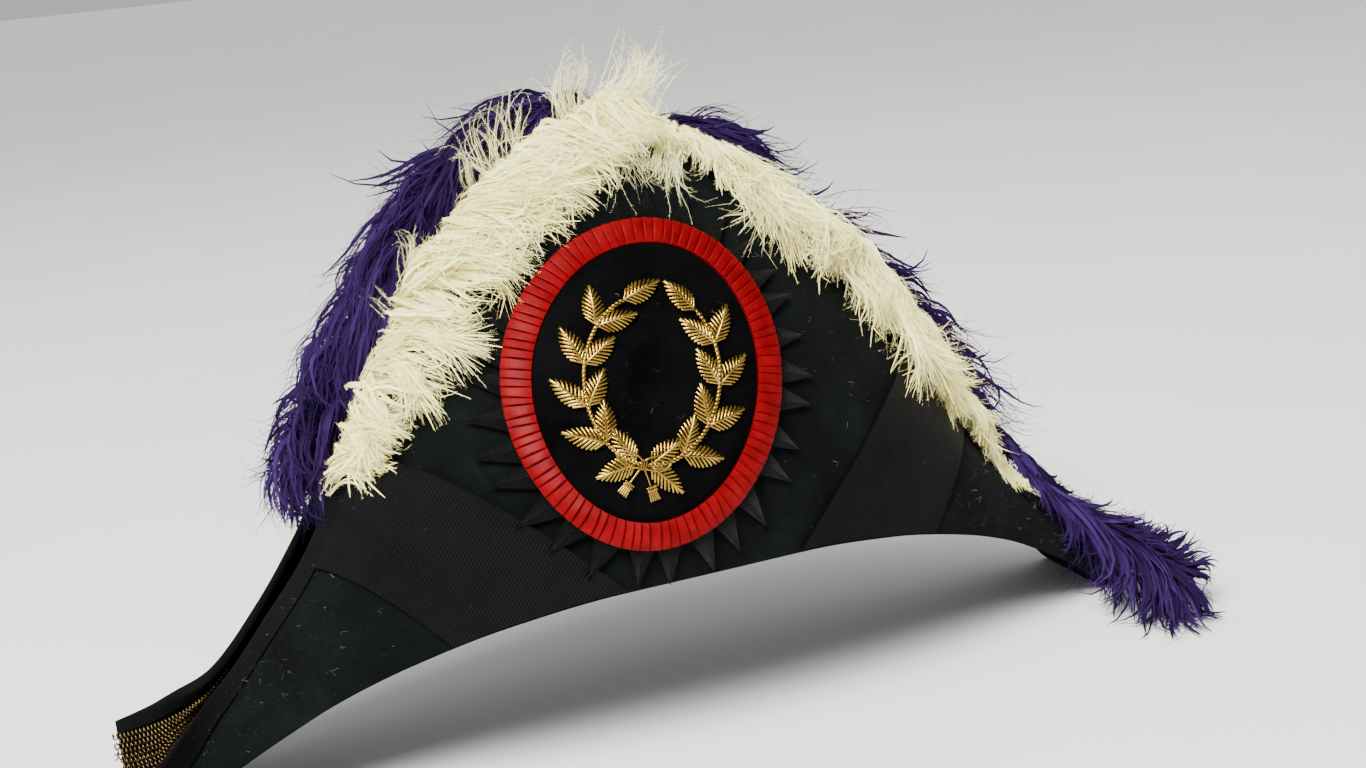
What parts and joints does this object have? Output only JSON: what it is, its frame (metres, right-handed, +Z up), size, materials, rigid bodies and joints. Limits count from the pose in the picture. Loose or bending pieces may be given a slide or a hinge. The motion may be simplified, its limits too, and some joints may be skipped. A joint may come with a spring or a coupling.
{
  "type": "bicorne hat",
  "caption": "Fore-and-aft felt dress hat with two tall turned-up leaves, bound edges, ribbons, a pleated rosette with a wreath, ostrich plumes and bullion tip tassels.",
  "frame": {"origin": "centre of the bounding box, on the surface that the two tips stand on", "axes": "+X from the left tip to the right tip, -Y the way the rosette faces, +Z up"},
  "size_m": [0.484, 0.174, 0.27],
  "materials": {
    "felt": "napped fur felt",
    "crown_felt": "smooth felt",
    "ribbon": "ribbed silk ribbon",
    "satin": "satin ribbon in knife pleats",
    "velvet": "velvet",
    "gold_embroidery": "bullion embroidery",
    "bullion": "coiled bullion, dulled",
    "white_feather": "ostrich feather",
    "purple_feather": "dyed ostrich feather"
  },
  "bodies": {
    "root": {"crown": "crown_felt", "brim": "felt", "near_binding": "ribbon", "far_binding": "ribbon", "left_ribbon": "ribbon", "right_ribbon": "ribbon", "rosette_points": "ribbon", "rosette_pleats": "satin", "rosette_oval": "velvet", "rosette_wreath": "gold_embroidery", "left_tip_tassel": "bullion", "right_tip_tassel": "bullion", "white_plume_left": "white_feather", "white_plume_right": "white_feather", "purple_plume_left": "purple_feather", "purple_plume_right": "purple_feather"}
  },
  "joints": []
}
